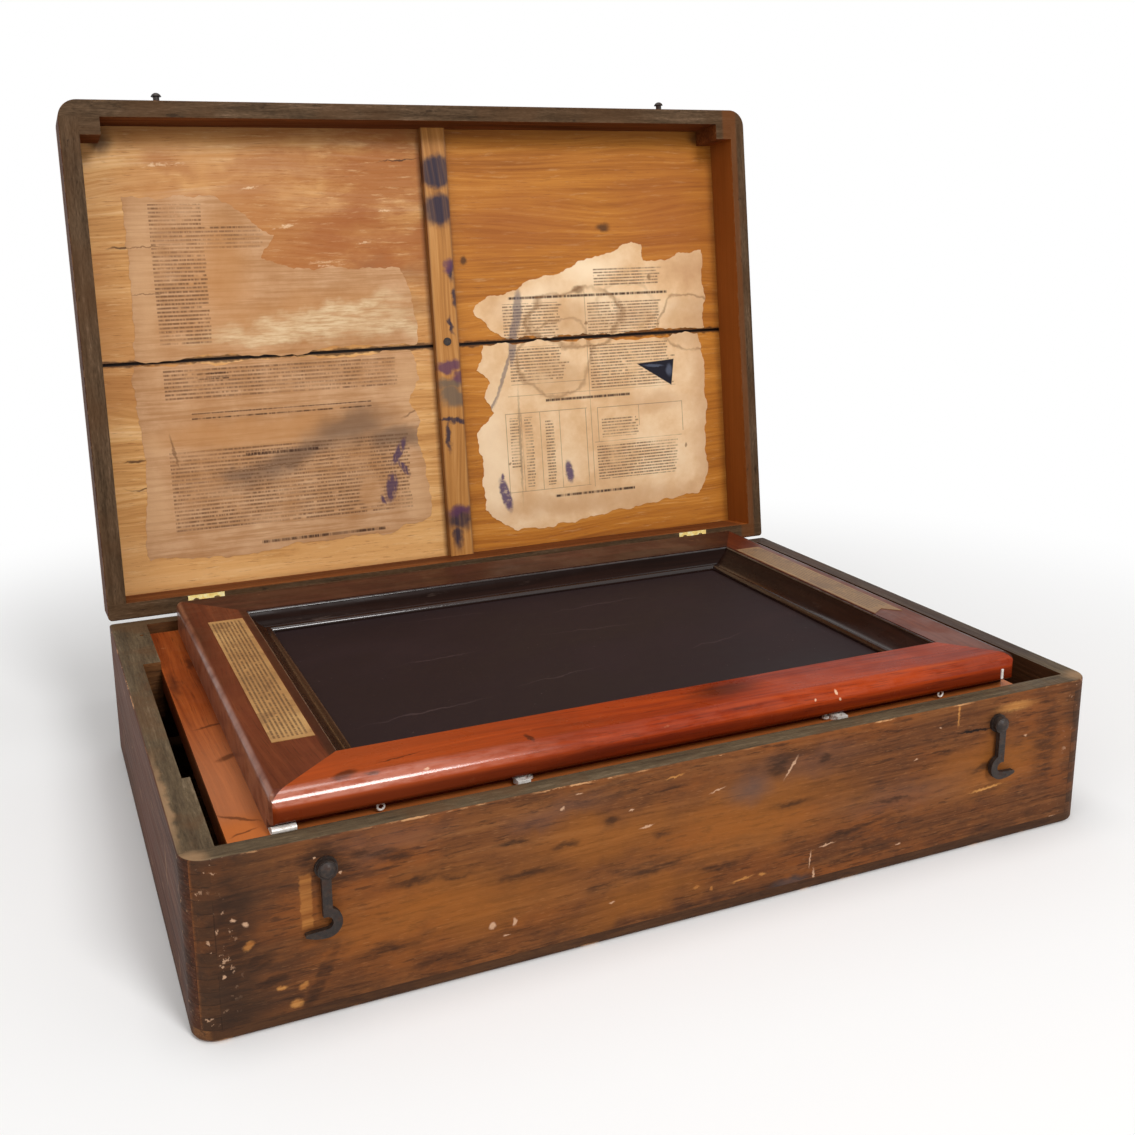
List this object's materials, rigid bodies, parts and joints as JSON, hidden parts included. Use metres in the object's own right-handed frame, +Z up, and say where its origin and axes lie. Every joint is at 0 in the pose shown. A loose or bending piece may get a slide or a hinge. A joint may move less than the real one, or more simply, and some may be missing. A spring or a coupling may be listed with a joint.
{
  "type": "mimeograph",
  "caption": "Flat-bed stencil duplicator in a wooden box: hinged lid, hinged mahogany printing frame with a recessed panel, front hooks and turn catches.",
  "frame": {"origin": "centre of the underside of the box, on the surface it stands on", "axes": "+X to the right along the front, +Y from the front to the hinged back, +Z up"},
  "size_m": [0.584, 0.4913, 0.4939],
  "materials": {
    "case_wood": "worn stain",
    "lid_oak": "old varnish",
    "mahogany": "glossy varnish",
    "inked_silk": "inked, dull",
    "felt": "matt",
    "old_paper": "aged",
    "brass": "aged",
    "black_iron": "blackened",
    "steel": "tarnished"
  },
  "bodies": {
    "case": {"bed_blanket": "felt", "bed_board": "mahogany", "bed_corner_clip": "steel", "bed_hinge_leaves": "brass", "case_back_wall": "case_wood", "case_block_left_front": "case_wood", "case_block_left_rear": "case_wood", "case_block_right": "case_wood", "case_bottom_back": "case_wood", "case_bottom_front": "case_wood", "case_cleat_back": "case_wood", "case_cleat_front": "case_wood", "case_front_wall": "case_wood", "case_hinge_leaf_left": "brass", "case_hinge_leaf_right": "brass", "case_hinge_screws": "brass", "case_left_wall": "case_wood", "case_right_wall": "case_wood", "catch_pivot_screws": "steel", "hinge_pins": "brass", "hook_screws": "steel", "hook_washers": "black_iron"},
    "lid": {"lid_back_wall": "case_wood", "lid_batten": "lid_oak", "lid_batten_screw": "steel", "lid_block_left": "case_wood", "lid_block_right": "case_wood", "lid_board_back": "lid_oak", "lid_board_front": "lid_oak", "lid_front_wall": "case_wood", "lid_hinge_leaf_left": "brass", "lid_hinge_leaf_right": "brass", "lid_hinge_screws": "brass", "lid_left_wall": "case_wood", "lid_nails": "steel", "lid_right_wall": "case_wood", "lid_sheet_left": "old_paper", "lid_sheet_right": "old_paper", "lid_studs": "black_iron"},
    "printing_frame": {"catch_keepers": "steel", "diaphragm": "inked_silk", "frame_back_rail": "mahogany", "frame_front_rail": "mahogany", "frame_front_sill": "mahogany", "frame_front_strip": "old_paper", "frame_hinge_leaves": "brass", "frame_hinge_screws": "brass", "frame_label_left": "old_paper", "frame_label_right": "old_paper", "frame_left_stile": "mahogany", "frame_right_stile": "mahogany", "well_moulding_back": "mahogany", "well_moulding_front": "mahogany", "well_moulding_left": "mahogany", "well_moulding_right": "mahogany", "wire_clips": "steel"},
    "hook_left": {"hook_left": "black_iron"},
    "hook_right": {"hook_right": "black_iron"},
    "catch_left": {"frame_catch_left": "steel"},
    "catch_right": {"frame_catch_right": "steel"}
  },
  "joints": [
    {"name": "lid_hinge", "type": "hinge", "parent": "case", "child": "lid", "pos_m": [0, 0.1955, 0.10115], "axis": [1, 0, 0], "range_deg": [0, 97.6]},
    {"name": "frame_hinge", "type": "hinge", "parent": "case", "child": "printing_frame", "pos_m": [0, 0.1758, 0.096], "axis": [1, 0, 0], "range_deg": [-60, 0]},
    {"name": "hook_left_pivot", "type": "hinge", "parent": "case", "child": "hook_left", "pos_m": [-0.2214, -0.1975, 0.0843], "axis": [0, 1, 0], "range_deg": [0, 180]},
    {"name": "hook_right_pivot", "type": "hinge", "parent": "case", "child": "hook_right", "pos_m": [0.2135, -0.1975, 0.0833], "axis": [0, -1, 0], "range_deg": [0, 180]},
    {"name": "catch_left_pivot", "type": "hinge", "parent": "case", "child": "catch_left", "pos_m": [-0.1055, -0.1695, 0.1], "axis": [0, 0, 1], "range_deg": [0, 90]},
    {"name": "catch_right_pivot", "type": "hinge", "parent": "case", "child": "catch_right", "pos_m": [0.1055, -0.1695, 0.1], "axis": [0, 0, -1], "range_deg": [0, 90]}
  ]
}
